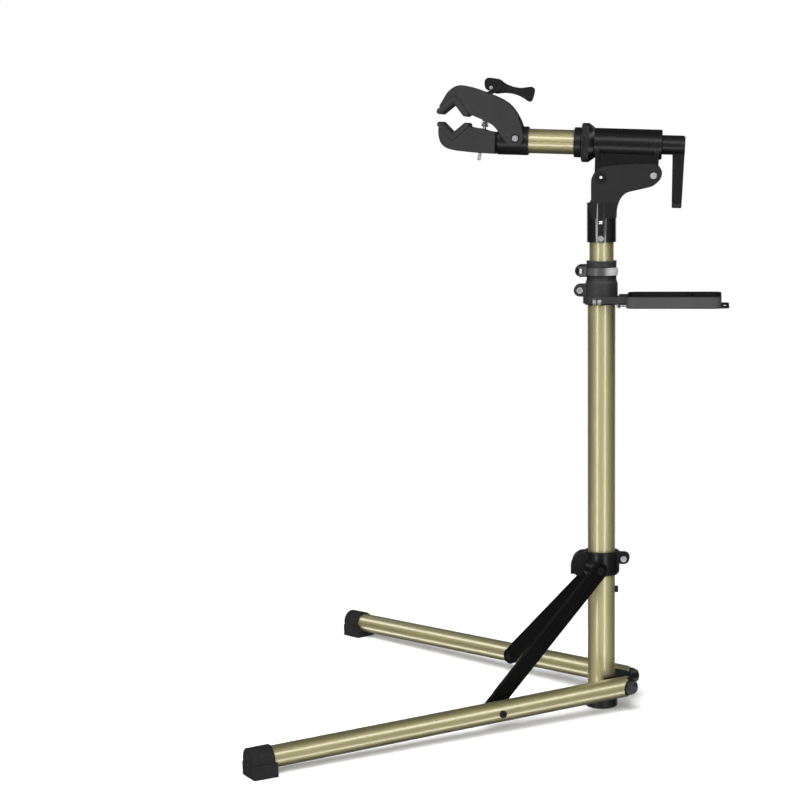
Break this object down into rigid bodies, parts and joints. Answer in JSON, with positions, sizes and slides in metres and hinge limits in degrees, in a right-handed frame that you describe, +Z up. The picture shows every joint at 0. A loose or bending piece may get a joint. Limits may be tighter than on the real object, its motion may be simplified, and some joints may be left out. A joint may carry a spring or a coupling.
{
  "type": "bicycle repair stand",
  "caption": "Folding bipod work stand with telescoping mast, braced legs, side tool tray and a turning head with a cam-lever tube clamp.",
  "frame": {"origin": "centre of the mast foot's underside, on the floor", "axes": "+Z up along the mast; -X towards the clamp arm and between the two legs, +X towards the tray and the crank; -Y is the side of the quick release lever"},
  "size_m": [0.638, 0.8278, 0.9205],
  "materials": {
    "gold_tube": "champagne anodised tube with a fine drawn grain",
    "dark_casting": "charcoal satin coating with a fine texture",
    "black_plastic": "moulded, lightly textured",
    "black_rubber": "matt",
    "black_screw": "black oxide",
    "black_brace": "smooth semi-gloss black",
    "lever_metal": "dark polished lever",
    "bright_steel": "bright zinc",
    "pale_bush": "natural acetal"
  },
  "bodies": {
    "base": {"mast_tube": "gold_tube", "mast_foot": "black_rubber", "hub_block": "dark_casting", "hub_screws": "bright_steel", "pivot_bolts": "black_screw", "stop_screw": "black_screw", "collar": "black_plastic", "collar_screw": "bright_steel", "qr_bolt": "bright_steel", "qr_washer": "black_plastic", "qr_pin": "bright_steel", "qr_nut": "black_plastic"},
    "quick_release": {"qr_lever": "lever_metal"},
    "leg_near": {"leg_tube_near": "gold_tube", "leg_plug_near": "black_plastic", "leg_foot_near": "black_rubber", "leg_bolt_near": "black_screw"},
    "leg_far": {"leg_tube_far": "gold_tube", "leg_plug_far": "black_plastic", "leg_foot_far": "black_rubber", "leg_bolt_far": "black_screw"},
    "slider": {"slider_collar": "dark_casting", "slider_screw": "bright_steel", "brace_screws": "black_screw"},
    "strut_near": {"brace_near": "black_brace", "brace_nut_near": "black_screw"},
    "strut_far": {"brace_far": "black_brace", "brace_nut_far": "black_screw"},
    "tray": {"tray_pan": "black_plastic", "tray_strap": "black_plastic", "tray_bolt": "bright_steel", "tray_screws": "bright_steel"},
    "bush": {"guide_bush": "pale_bush"},
    "head": {"inner_tube": "gold_tube", "tube_plug": "black_plastic", "head_fork": "dark_casting", "fork_rivets": "bright_steel", "yoke_bolt_front": "black_screw", "yoke_bolt_rear": "bright_steel"},
    "barrel_body": {"barrel": "dark_casting"},
    "ring": {"lock_ring": "black_plastic"},
    "crank_body": {"crank": "black_plastic", "crank_cap": "black_rubber", "crank_spindle": "bright_steel"},
    "arm": {"arm_tube": "gold_tube", "front_collar": "black_plastic", "clamp_sleeve": "black_plastic", "lower_jaw": "dark_casting", "lower_vee": "dark_casting", "lower_pad": "black_rubber", "jaw_bolt": "bright_steel"},
    "jaw": {"upper_jaw": "dark_casting", "upper_vee": "dark_casting", "upper_pad": "black_rubber", "saddle_plate": "black_plastic", "drawbar": "bright_steel", "jaw_spring": "bright_steel"},
    "cam": {"cam_lever": "black_plastic", "cam_pin": "bright_steel"}
  },
  "joints": [
    {"name": "slider_slide", "type": "slide", "parent": "base", "child": "slider", "axis": [0, 0, 1], "range_m": [0, 0.3011]},
    {"name": "leg_near_fold", "type": "hinge", "parent": "base", "child": "leg_near", "pos_m": [0.03673, -0.0298, 0.037], "axis": [-0.6088, 0.7934, 0], "range_deg": [0, 80.05]},
    {"name": "leg_far_fold", "type": "hinge", "parent": "base", "child": "leg_far", "pos_m": [0.03673, 0.0298, 0.037], "axis": [0.6088, 0.7934, 0], "range_deg": [0, 80.05]},
    {"name": "strut_near_turn", "type": "hinge", "parent": "slider", "child": "strut_near", "pos_m": [-0.00108, -0.03473, 0.209], "axis": [0.6088, -0.7934, 0], "range_deg": [0, 44.25]},
    {"name": "strut_far_turn", "type": "hinge", "parent": "slider", "child": "strut_far", "pos_m": [-0.00108, 0.03473, 0.209], "axis": [-0.6088, -0.7934, 0], "range_deg": [0, 44.25]},
    {"name": "tube_slide", "type": "slide", "parent": "base", "child": "bush", "axis": [0, 0, 1], "range_m": [-0.015, 0.35]},
    {"name": "head_swivel", "type": "hinge", "parent": "bush", "child": "head", "pos_m": [0, 0, 0.66], "axis": [0, 0, 1], "continuous": true},
    {"name": "head_tilt", "type": "hinge", "parent": "head", "child": "barrel_body", "pos_m": [0, 0, 0.7775], "axis": [0, -1, 0], "range_deg": [0, 45]},
    {"name": "ring_turn", "type": "hinge", "parent": "barrel_body", "child": "ring", "pos_m": [-0.01803, 0, 0.82637], "axis": [0.9992, 0, -0.0407], "continuous": true},
    {"name": "crank_turn", "type": "hinge", "parent": "barrel_body", "child": "crank_body", "pos_m": [0.09688, 0, 0.8217], "axis": [0.9992, 0, -0.0407], "continuous": true},
    {"name": "arm_turn", "type": "hinge", "parent": "barrel_body", "child": "arm", "pos_m": [-0.05799, 0, 0.828], "axis": [0.9992, 0, -0.0407], "continuous": true},
    {"name": "jaw_open", "type": "hinge", "parent": "arm", "child": "jaw", "pos_m": [-0.12172, 0, 0.83369], "axis": [0, 1, 0], "range_deg": [-4.5, 24], "deforming": ["jaw_spring"]},
    {"name": "cam_flip", "type": "hinge", "parent": "jaw", "child": "cam", "pos_m": [-0.15739, 0, 0.90631], "axis": [0, -1, 0], "range_deg": [0, 120]},
    {"name": "quick_release_flip", "type": "hinge", "parent": "base", "child": "quick_release", "pos_m": [-0.0288, -0.0157, 0.6435], "axis": [0, 0, -1], "range_deg": [0, 90]},
    {"name": "tray_swivel", "type": "hinge", "parent": "base", "child": "tray", "pos_m": [0, 0, 0.6], "axis": [0, 0, 1], "range_deg": [-38, 38]}
  ],
  "couplings": [
    {"joint": "leg_near_fold", "follows": "slider_slide", "rad_per_m": 4.6372},
    {"joint": "leg_far_fold", "follows": "slider_slide", "rad_per_m": 4.6372},
    {"joint": "strut_near_turn", "follows": "slider_slide", "rad_per_m": 2.5623},
    {"joint": "strut_far_turn", "follows": "slider_slide", "rad_per_m": 2.5623}
  ]
}
